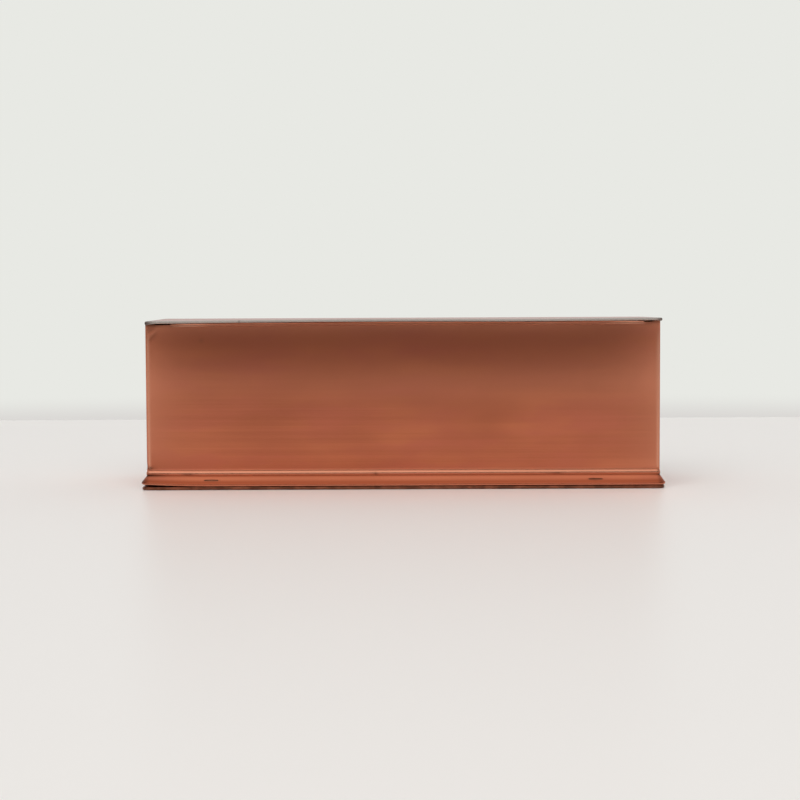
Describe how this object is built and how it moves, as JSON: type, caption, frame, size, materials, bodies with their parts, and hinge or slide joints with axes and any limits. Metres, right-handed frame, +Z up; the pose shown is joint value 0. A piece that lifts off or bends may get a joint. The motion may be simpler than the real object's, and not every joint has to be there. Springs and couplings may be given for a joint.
{
  "type": "wall mounted mailbox",
  "caption": "Horizontal wall mounted mailbox of folded copper sheet with a hinged top lid, a flared foot and keyholes in the back.",
  "frame": {"origin": "middle of the bounding box at its foot, on the surface that the base plate rests on", "axes": "+X to the right seen from the front, +Y from the front face towards the wall, +Z up"},
  "size_m": [0.373, 0.114, 0.1213],
  "materials": {
    "copper_sheet": "satin, aged, faintly brushed along its length",
    "copper_rivets": "satin, domed",
    "hinge_brass": "satin",
    "hinge_pin_steel": "satin",
    "galvanised_plate": "zinc plated"
  },
  "bodies": {
    "box": {"body_wrap": "copper_sheet", "base_plate": "copper_sheet", "back_plate": "copper_sheet", "front_clip_left": "copper_sheet", "front_clip_right": "copper_sheet", "hinge_back_leaf": "hinge_brass", "hinge_pin": "hinge_pin_steel", "hinge_back_rivets": "copper_rivets", "base_seam_rivets": "copper_rivets", "front_clip_rivets": "copper_rivets", "side_seam_rivets_left": "copper_rivets", "side_seam_rivets_right": "copper_rivets", "keyhole_plate_left": "galvanised_plate", "keyhole_plate_right": "galvanised_plate", "keyhole_rivets_left": "copper_rivets", "keyhole_rivets_right": "copper_rivets"},
    "lid": {"lid_panel": "copper_sheet", "hinge_lid_leaf": "hinge_brass", "hinge_lid_rivets": "copper_rivets"}
  },
  "joints": [
    {"name": "lid_hinge", "type": "hinge", "parent": "box", "child": "lid", "pos_m": [0, 0.0537, 0.118], "axis": [-1, 0, 0], "range_deg": [0, 90]}
  ]
}
